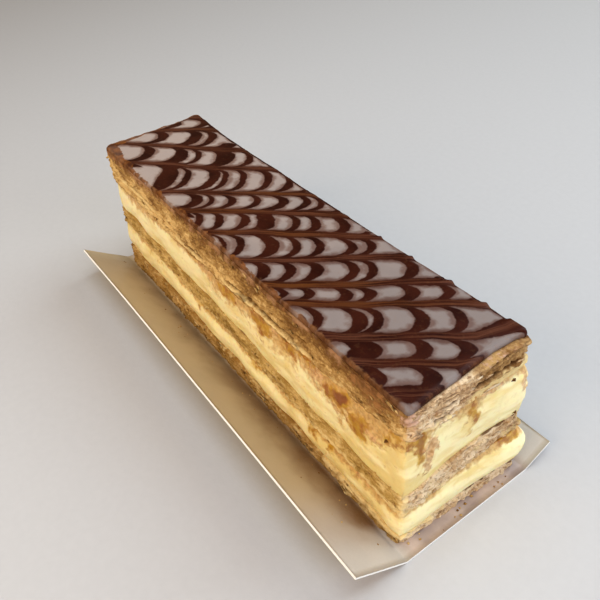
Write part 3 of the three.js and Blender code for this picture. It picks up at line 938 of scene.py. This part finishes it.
pastry_top_top = layer_top((PASTRY_TOP,) * 3, (PASTRY_TOP,) * 3)
fine_insets = [*FACE_INSETS[:-1], *np.arange(FACE_INSETS[-1], SLICE_WIDTH / 2 - 0.1, FACE_STEP)]
skin = Skin(
    sunk_into(pastry_top_top, ICING_OVERLAP),
    layer_top((ICING_TOP,) * 3, (ICING_TOP,) * 3),
    [share for share, _ in ICING_EDGE],
    top_insets=fine_insets,
)
inside, off, undragged, caramel = feathering(skin.x, skin.y)
# A little chocolate has run along the right edge, in the farther half.
on_right = (skin.y > SLICE_WIDTH - 1.5) & (skin.near_end == 0)
ran_along = 0.4 - skin.inset + 0.35 * skin.lumps(3, 543) - 0.6 * fade(skin.x, 70, 90)
inside = np.where(on_right, np.maximum(inside, ran_along), inside)
edge_inset = np.interp(skin.share, *zip(*ICING_EDGE))
push = 0.25 * skin.lumps(14, 521, 0) + 0.08 * skin.lumps(3.5, 522, 0)
push = push - edge_inset + skin.read(EDGE_REACH)
at_far_end = fade(skin.around, 288, 293)
push += at_far_end * 0.45 * skin.lumps(1.6, 523, 0)
swell = 0.12 * skin.lumps(11, 531, 0) + 0.05 * skin.lumps(3.5, 532, 0)
swell += 0.04 * fade(inside, -0.3, 0.3)
on_top = np.where(skin.share == 1, 1, 0)
rounded = 0.2 * np.exp(-skin.inset / 0.4) * on_top
# Chocolate has piled up where a stroke leaves the right edge, in the nearer half most.
right_edge = hump(skin.inset / 1.4) * fade(skin.y, SLICE_WIDTH - 3.5, SLICE_WIDTH - 1.5)
piled = right_edge * fade(inside, 0.3, 1.4) * (0.15 + 0.85 * fade(skin.x, 72, 92))
push += 0.35 * piled
lift = fade(skin.share, 0.5, 1) * (swell + 0.45 * piled) - rounded
glaze_width = skin.read(EDGE_GLAZE)
from_edge = skin.inset + 0.45 * skin.lumps(1.8, 541) + 0.2 * skin.lumps(0.7, 542)
# The near end and the right side keep the icing's own colours.
not_browned = 1 - 0.7 * fade(skin.y, SLICE_WIDTH - 1.5, SLICE_WIDTH - 0.5)
not_browned = not_browned * (1 - 0.75 * skin.near_end)
paints = {
    "inside": inside,
    "off": off,
    "off_stroke": np.abs(off),
    "undragged": undragged,
    "caramel": caramel,
    "glaze": 1 - fade(from_edge - glaze_width, -0.35, 0.25),
    "side": np.where(on_top, 0.45 * np.exp(-skin.inset / 0.3), 1) * not_browned,
    # The painted sheen grows towards the far end.
    "far_sheen": 1 - skin.x / SLICE_LENGTH,
}

fondant = Finish(
    "feathered_fondant",
    Specular_IOR_Level=0.06,
    Subsurface_Weight=0.06,
    Subsurface_Radius=(1.0, 0.8, 0.7),
    Subsurface_Scale=0.6 * MM,
)
edge_waver = fondant.rise(fondant.grain(1.1), 0.25, 0.75, -0.14, 0.14)
depth_in = fondant.sum(fondant.painted("inside"), edge_waver)
clouds = fondant.grain(7)
cloudy = fondant.rise(clouds, 0.3, 0.7, -0.1, 0.1)
# The icing is painted lighter towards the far end, as the window's sheen on it.
far_sheen = fondant.rise(fondant.sum(fondant.painted("far_sheen"), cloudy), 0, 1)
white = fondant.blend(far_sheen, colour(125, 113, 108), colour(157, 140, 130))
pinkish = fondant.blend(far_sheen, colour(96, 71, 63), colour(106, 77, 64))
milky = fondant.uneven(3, 3, -0.6, 0.6)
bled = fondant.blend(fondant.rise(fondant.sum(depth_in, milky), -1.5, -0.1, 0, 0.85), white, pinkish)
# Beside a stroke, streaks of chocolate run through the white.
along, beside = fondant.painted("undragged"), fondant.painted("off")
streaks = fondant.streaks((along, 0.05), (beside, 1.7), 2)
off_stroke = fondant.painted("off_stroke")
muddy = fondant.rise(fondant.sum(off_stroke, fondant.times(streaks, -1)), 0.2, 2.1, 0.9, 0)
bled = fondant.blend(muddy, bled, fondant.blend(far_sheen, colour(74, 48, 40), colour(92, 62, 50)))
in_stroke = fondant.rise(off_stroke, 0.2, 1.5, 1, 0)
smeared = fondant.times(in_stroke, fondant.rise(streaks, 0.4, 0.6))
chocolate = fondant.blend(fondant.rise(clouds, 0.3, 0.7), colour(33, 6, 2), colour(52, 18, 8))
chocolate = fondant.blend(smeared, chocolate, colour(80, 44, 29))
golden = fondant.times(in_stroke, fondant.painted("caramel"))
golden = fondant.times(golden, fondant.rise(streaks, 0.4, 0.6, 0.15, 0.95))
chocolate = fondant.blend(golden, chocolate, colour(84, 44, 12))
fondant.set("Base Color", fondant.blend(fondant.rise(depth_in, -0.24, 0.14), bled, chocolate))
ragged = fondant.uneven(0.9, 4, -0.3, 0.3)
caramel_tint = fondant.mottled(2.2, colour(118, 68, 28), colour(68, 34, 16))
fondant.lay(fondant.stain("glaze", ragged, 0.3, 0.8, 0.9), caramel_tint)
brown_tint = fondant.blend(fondant.uneven(1.6, 3), colour(104, 64, 28), colour(146, 104, 70))
fondant.lay(fondant.stain("side", ragged, 0.1, 1.0, 0.45), brown_tint)
fondant.set("Roughness", fondant.rise(fondant.painted("side"), 0, 1, 0.36, 0.8))
wavy = fondant.bump(fondant.grain(2.5, 2), 0.06)
fondant.set("Normal", fondant.bump(fondant.grain(0.35, 2), 0.012, wavy))
icing = skin.piece("icing_sheet", push, paints, fondant.material, "icing", lift)
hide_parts("icing")


# ---------------------------------------------------------------------------------------------
# Top slab of puff pastry
# The thickest slab, which the icing lies on. Long splits have opened between its leaves, and the
# knife has dragged some of the icing, and a brown glaze, down over its upper edge.

TOP_SLAB_RINGS = 70
# Open splits: from and to round the slice, the height there, depth and half the gap.
SPLITS = (
    (40, 58, 31.3, 31.1, 1.2, 0.28),
    (64, 104, 31.7, 33.2, 2.0, 0.38),
    (6, 34, 34.2, 33.4, 0.9, 0.22),
    (18, 30, 32.2, 31.9, 0.8, 0.22),
    (144, 157.5, 36.3, 36.1, 1.8, 0.34),
    (133, 141, 33.9, 34.2, 1.2, 0.3),
    (138, 142, 36.1, 36.2, 0.9, 0.3),
    (172, 196, 33.4, 32.6, 1.3, 0.3),
    (214, 236, 32.2, 32.0, 1.0, 0.25),
    (262, 280, 33.6, 33.9, 1.2, 0.3),
    (296, 312, 33.0, 32.4, 1.2, 0.3),
)
# Smears of the glaze, and of white icing.
GLAZE = (
    (121, 3.2, 8, 3.4, 0.8),
    (4, 1, 12, 2.6, 0.9),
    (318, 1, 6, 2.4, 0.9),
    (38, 1, 9, 2, 0.7),
    (60, 1, 12, 2, 0.6),
    (90, 1, 14, 1.8, 0.55),
    (175, 1, 12, 1.8, 0.6),
    (225, 1, 14, 1.6, 0.5),
    (270, 1, 10, 1.8, 0.5),
)
ICING_SMEARS = ((130.5, 2.5, 2.2, 4.2, 0.7), (151, 1, 6, 1, 0.4))
# How far the slab stands out, round the slice.
TOP_SLAB_REACH = (
    (0, 0.4), (120, 0.5), (131, 0.6), (145, 0.7), (157, 0.8), (163, 0.1), (175, -0.25), (275, -0.25),
    (290, 1.2), (300, 0.5), (320, 0.4),
)
skin = top_skin = Skin(custard_upper_top, pastry_top_top, np.linspace(0, 1, TOP_SLAB_RINGS))
push, paints = flaky_cut(skin, skin.read(TOP_SLAB_REACH), 401)
glaze = smears(skin, GLAZE, 431)
split_depth = np.zeros(skin.x.shape)
lips = np.zeros(skin.x.shape)
for start, end, first_height, last_height, depth, half_gap in SPLITS:
    along = (skin.around - start) / (end - start)
    middle = first_height + (last_height - first_height) * along + 0.2 * skin.lumps(6, 441, 0)
    opened = between(along, -0.05, 0.2, 0.8, 1.05)
    off = (skin.height - middle) / (half_gap * (0.25 + 0.75 * opened))
    split_depth = np.maximum(split_depth, depth * opened * np.exp(-(off**4)))
    # The leaf under the split stands out as a lip, which is painted pale as a highlight.
    lip = opened * hump((skin.height - middle + 2.2 * half_gap) / 0.35)
    push += 0.45 * lip
    lips = np.maximum(lips, lip)
run_reach = 3.2 + 1.2 * skin.lumps(4, 461, 0) + 0.6 * skin.lumps(1.4, 462, 0)
run = 1 - fade((skin.drop - 0.8) / run_reach, 0, 1.1)
run = run * (1 - 0.7 * skin.near_end)
worn = fade(skin.lumps(1.3, 463), -0.1, 0.5) * hump(skin.to_corner / 2.2)
smooth = np.maximum(glaze, run)
push = push * (1 - 0.6 * smooth) + 0.2 * smooth - 0.7 * worn - split_depth
# At the right of the cut end, custard has been dragged up over the lower leaves.
dragged = 1 - fade(skin.height + 0.5 * skin.lumps(2, 465), 34.2, 35.1)
dragged = dragged * fade(skin.around, 142, 148) * skin.near_end
push = push * (1 - 0.7 * dragged) + 0.6 * dragged
# Its leaves are browner near the icing and half way along, and paler below, at the far end most.
paler = fade(skin.drop, 1, 10) - 0.5 + 0.25 * (1 - skin.x / SLICE_LENGTH)
along_middle = between(skin.x, 35, 60, 95, 118)
paler = paler - 0.4 * along_middle
paints["tone"] = 0.5 + (0.7 + 0.3 * skin.near_end) * (paints["tone"] - 0.5)
# Split lips are painted paler, as a highlight.
paints["tone"] += 0.55 * paler * (1 - skin.near_end) + 0.4 * lips
filled = np.clip(0.5 * (1 - skin.near_end) + 0.8 * smooth + dragged, 0, 1)
# Painted shade deepens the open splits, and the seams less where glaze or custard fills them, or away
# from the near end.
paints["recess"] = np.clip(paints["recess"] * (1 - filled) + split_depth, 0, 1)
paints["glaze"] = glaze
paints["run"] = run
# The right half of the cut end is browner than the left.
paints["toasted"] = fade(skin.around + 0.8 * skin.lumps(2.5, 464), 143, 149) * skin.near_end
paints["inside"] = feathering(skin.x, skin.y)[0]
paints["amber"] = smears(skin, UPPER_JUICE, 331)
paints["fondant"] = smears(skin, ICING_SMEARS, 451)
# Cream clings low on the slab, and the lips take its pale colour as a painted highlight.
paints["cream"] = 0.4 * skin.lumps(5, 415) + 0.3 - 0.9 * skin.share + 0.7 * lips
paints["cream"] += 1.3 * dragged
browned_pastry = pastry_finish(
    "top_pastry",
    pale=colour(217, 183, 122),
    middle=colour(167, 129, 73),
    dark=colour(118, 82, 40),
    crust=colour(134, 96, 50),
)
top_slab = skin.piece("top_slab", push, paints, browned_pastry, "pastry")
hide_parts("pastry_top")


# ---------------------------------------------------------------------------------------------
# Flakes and crumbs
# Thin broken leaves that hang on the cut sides, and crumbs that have dropped on the card. They
# came off the slabs when the slice was cut.

FLAKE_POINTS = 9
# How many flakes hang on each slab, with their middle length and height.
LOOSE_FLAKES = ((top_skin, 150, 2.2, 0.8), (middle_skin, 90, 1.8, 0.7), (bottom_skin, 110, 2.0, 0.8))
# The larger flakes: skin, place round the slice, drop from its top, length, height, standing out.
LARGE_FLAKES = (
    (top_skin, 75, 9.3, 6, 1.1, 0.5),
    (top_skin, 82, 8.5, 4.5, 1, 0.6),
    (top_skin, 91, 9.2, 5.5, 1.2, 0.5),
    (top_skin, 97.5, 8.4, 4, 0.9, 0.6),
    (top_skin, 51, 9.6, 5, 1, 0.4),
    (top_skin, 150, 7.2, 4.5, 1, 0.4),
    (top_skin, 139, 8.0, 3.4, 1.2, 0.4),
    (middle_skin, 153, 21.2, 4.5, 1, 0.5),
    (middle_skin, 156.6, 22.6, 3, 1.4, 0.4),
    (middle_skin, 133.5, 27.5, 3.4, 1.2, 0.4),
    (bottom_skin, 94, 38.6, 5, 1.8, 0.6),
    (bottom_skin, 72, 38.8, 4, 1.6, 0.5),
    (bottom_skin, 44, 38, 4.5, 1.6, 0.5),
    (bottom_skin, 112, 39.4, 4, 1.2, 0.5),
    (bottom_skin, 141, 39.8, 4.5, 1, 0.4),
    (bottom_skin, 152, 39.2, 4, 1.4, 0.4),
)
# Burnt crumbs that stuck in the cut: skin, place round the slice, drop from its top, size.
BURNT_CRUMBS = (
    (custard_skin, 156.5, 9.7, 0.5),
    (custard_skin, 157.6, 19.9, 0.5),
    (custard_skin, 125, 12.6, 0.5),
    (middle_skin, 154, 21.4, 0.4),
)
# How many crumbs lie on the card: on its tall side close to the slice's foot, on its base beyond
# the cut end, and along its right fold.
CRUMBS = {"tall side": 39, "base": 21, "right fold": 10}
# A crumb is a lump with six corners and eight faces.
BITS = np.array([(1, 0, 0), (-1, 0, 0), (0, 1, 0), (0, -1, 0), (0, 0, 1), (0, 0, -1)])
BIT_FACES = ((0, 2, 4), (2, 1, 4), (1, 3, 4), (3, 0, 4), (2, 0, 5), (1, 2, 5), (3, 1, 5), (0, 3, 5))

chance = np.random.default_rng(4235)
scraps = {"corners": [], "faces": [], "tone": [], "lit_end": [], "recess": []}


def add_scrap(corners, faces, tone, lit_end=0, burnt=0):
    """Adds one closed flake or crumb, with its paints, to the scraps."""
    first = len(scraps["corners"])
    scraps["corners"].extend(corners)
    scraps["faces"].extend([first + corner for corner in face] for face in faces)
    for paint, value in {"tone": tone, "lit_end": lit_end, "recess": burnt}.items():
        scraps[paint].extend([value] * len(corners))


def nearest(skin, around, drop):
    """The ring and column of a skin's side point, at a place round the slice and a drop."""
    away = (skin.around - around) ** 2 + (skin.drop - drop) ** 2 + 1000 * skin.inset
    return np.unravel_index(np.argmin(away), away.shape)


def hang_flake(skin, ring, column, length, height, stand_out, tone):
    """A thin leaf with a broken outline, held to a skin's side at its middle, its edge turned up."""
    turned = np.arange(FLAKE_POINTS) / FLAKE_POINTS * 2 * math.pi
    turned = turned + chance.uniform(-0.2, 0.2, FLAKE_POINTS)
    reach = chance.uniform(0.65, 1.15, FLAKE_POINTS)
    across = 0.5 * length * reach * np.cos(turned)
    upward = 0.5 * height * reach * np.sin(turned) + chance.normal(0, 0.08) * across
    centre = skin.surface[ring, column]
    outward = np.array([skin.out_x[column], skin.out_y[column], 0])
    beside = np.array([-outward[1], outward[0], 0])
    curl = stand_out * (0.25 + chance.uniform(0.1, 0.9) * (across / length + 0.5) ** 2)
    rim = centre + across[:, None] * beside + upward[:, None] * np.array([0, 0, 1])
    rim = rim + np.clip(curl + chance.normal(0, 0.05, FLAKE_POINTS), 0.02, 1)[:, None] * outward
    front = centre + (0.35 * stand_out + 0.12) * outward
    back = centre - 0.25 * outward
    faces = []
    for i in range(FLAKE_POINTS):
        after = (i + 1) % FLAKE_POINTS
        faces.append((i, after, FLAKE_POINTS))
        faces.append((after, i, FLAKE_POINTS + 1))
    # Flakes on the near end take its painted paler colour, for the stronger light there.
    at_near_end = NEAR_LEFT < skin.around[0, column] < NEAR_RIGHT
    add_scrap([*rim, front, back], faces, tone, float(at_near_end))


for skin, count, length, height in LOOSE_FLAKES:
    side_rings = np.flatnonzero(skin.inset[:, 0] == 0)[3:-3]
    for _ in range(count):
        size = chance.uniform(0.6, 1.4)
        ring, column = chance.choice(side_rings), chance.integers(skin.x.shape[1])
        stand_out, tone = chance.uniform(0.15, 0.5), chance.uniform(0.3, 0.75)
        hang_flake(skin, ring, column, size * length, size * height, stand_out, tone)
for skin, around, drop, length, height, stand_out in LARGE_FLAKES:
    hang_flake(skin, *nearest(skin, around, drop), length, height, stand_out, 0.7)
for skin, around, drop, size in BURNT_CRUMBS:
    place = skin.surface[nearest(skin, around, drop)]
    add_scrap(place + size * BITS * (1, 1.4, 0.8), BIT_FACES, 0, burnt=1)

left_slope = CARD_LEFT_SIDE["angle"]
for spot in (spot for spot, count in CRUMBS.items() for _ in range(count)):
    size = chance.uniform(0.12, 0.36) * (1 + (chance.random() < 0.1))
    bit = BITS * chance.uniform(0.6, 1.3, (6, 1)) * size * (1, 1, 0.6)
    bit = bit @ np.array(Matrix.Rotation(chance.uniform(0, 2 * math.pi), 3, "Z")).T
    x = chance.uniform(card_low.x + 4, card_high.x - 3)
    z = CARD_THICKNESS + 0.3 * size
    if spot == "tall side":
        up = CARD_FOLD_RADIUS + min(chance.exponential(2), 12)
        y = card_left_fold - up * math.cos(left_slope)
        z = up * math.sin(left_slope) + 1.2 * CARD_THICKNESS
    elif spot == "base":
        x = card_high.x - chance.uniform(0.4, 3.6)
        y = chance.uniform(card_left_fold + 2, card_right_fold - 2)
    else:
        y = card_right_fold - chance.uniform(0.5, 2)
    add_scrap(bit + np.array([x, y, z]), BIT_FACES, chance.uniform(0.1, 0.95))

paints = {paint: scraps[paint] for paint in ("tone", "lit_end", "recess")}
make_piece("flakes_and_crumbs", scraps["corners"], scraps["faces"], [browned_pastry], paints)


# ---------------------------------------------------------------------------------------------
# Table, light and camera
# A pale matt table. Light falls from a large window to the right, a nearer one and a patch of blue
# sky beyond the near end, the pale wall to the left, the ceiling and the room all round.

FLOOR_REACH = 3000 * MM
floor_mesh = bpy.data.meshes.new("floor")
floor_turns = ((-1, -1), (1, -1), (1, 1), (-1, 1))
floor_corners = [(x * FLOOR_REACH, y * FLOOR_REACH, 0) for x, y in floor_turns]
floor_mesh.from_pydata(floor_corners, [], [(0, 1, 2, 3)])
floor = bpy.data.objects.new("floor", floor_mesh)
bpy.context.scene.collection.objects.link(floor)
tabletop = Finish("tabletop", Roughness=0.6, Specular_IOR_Level=0.3)
matt = tabletop.blend(tabletop.grain(2), colour(181, 179, 178), colour(187, 185, 184))
tabletop.set("Base Color", matt)
tabletop.set("Normal", tabletop.bump(tabletop.grain(1.2), 0.03))
floor_mesh.materials.append(tabletop.material)
floor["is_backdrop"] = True

LIT_PLACE = Vector((0, 0, 20))


def soft_light(name, place, size, power, tint):
    """A soft rectangular light at a place in mm, turned to the slice."""
    light = bpy.data.lights.new(name, "AREA")
    light.shape = "RECTANGLE"
    light.size, light.size_y = (part * MM for part in size)
    light.energy = power
    light.color = colour(*tint)[:3]
    lamp = bpy.data.objects.new(name, light)
    lamp.location = Vector(place) * MM
    lamp.rotation_euler = (LIT_PLACE - Vector(place)).to_track_quat("-Z", "Y").to_euler()
    bpy.context.scene.collection.objects.link(lamp)


soft_light("window", (80, 640, 620), (560, 480), 6.0, (226, 242, 252))
soft_light("near_window", (780, 230, 260), (700, 420), 3.5, (240, 248, 240))
soft_light("sky", (480, 120, 330), (420, 300), 0.66, (120, 160, 255))
soft_light("wall", (60, -430, 300), (420, 300), 1.95, (255, 232, 202))
soft_light("ceiling", (0, -40, 430), (360, 360), 1.1, (215, 232, 245))

ROOM_BRIGHTNESS = 0.27
world = bpy.data.worlds.new("room_air")
world.use_nodes = True
room_light = world.node_tree.nodes["Background"].inputs
room_light["Color"].default_value = colour(255, 220, 180)
room_light["Strength"].default_value = ROOM_BRIGHTNESS
bpy.context.scene.world = world
bpy.context.scene.view_settings.view_transform = "Standard"

# The camera: its place in mm, and in degrees its heading from +X, how far it looks down and how
# far it leans clockwise. Then its lens, in mm.
CAMERA_PLACE = (114.25, -64.5, 126.6)
CAMERA_HEADING = 147.47
CAMERA_DOWN = 40.03
CAMERA_LEAN = 4.88
LENS_LENGTH = 39
LENS_FILM = 36
lens = bpy.data.cameras.new("camera")
lens.lens = LENS_LENGTH
lens.sensor_width = LENS_FILM
lens.clip_start = 5 * MM
camera = bpy.data.objects.new("camera", lens)
heading = Matrix.Rotation(math.radians(CAMERA_HEADING - 90), 4, "Z")
tilt = Matrix.Rotation(math.radians(90 - CAMERA_DOWN), 4, "X")
lean = Matrix.Rotation(math.radians(-CAMERA_LEAN), 4, "Z")
camera.matrix_world = Matrix.Translation(Vector(CAMERA_PLACE) * MM) @ heading @ tilt @ lean
bpy.context.scene.collection.objects.link(camera)
bpy.context.scene.camera = camera

size = {
    "cad": [list(cad_low), list(cad_high)],
    "visual": [list(corner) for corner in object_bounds()],
}
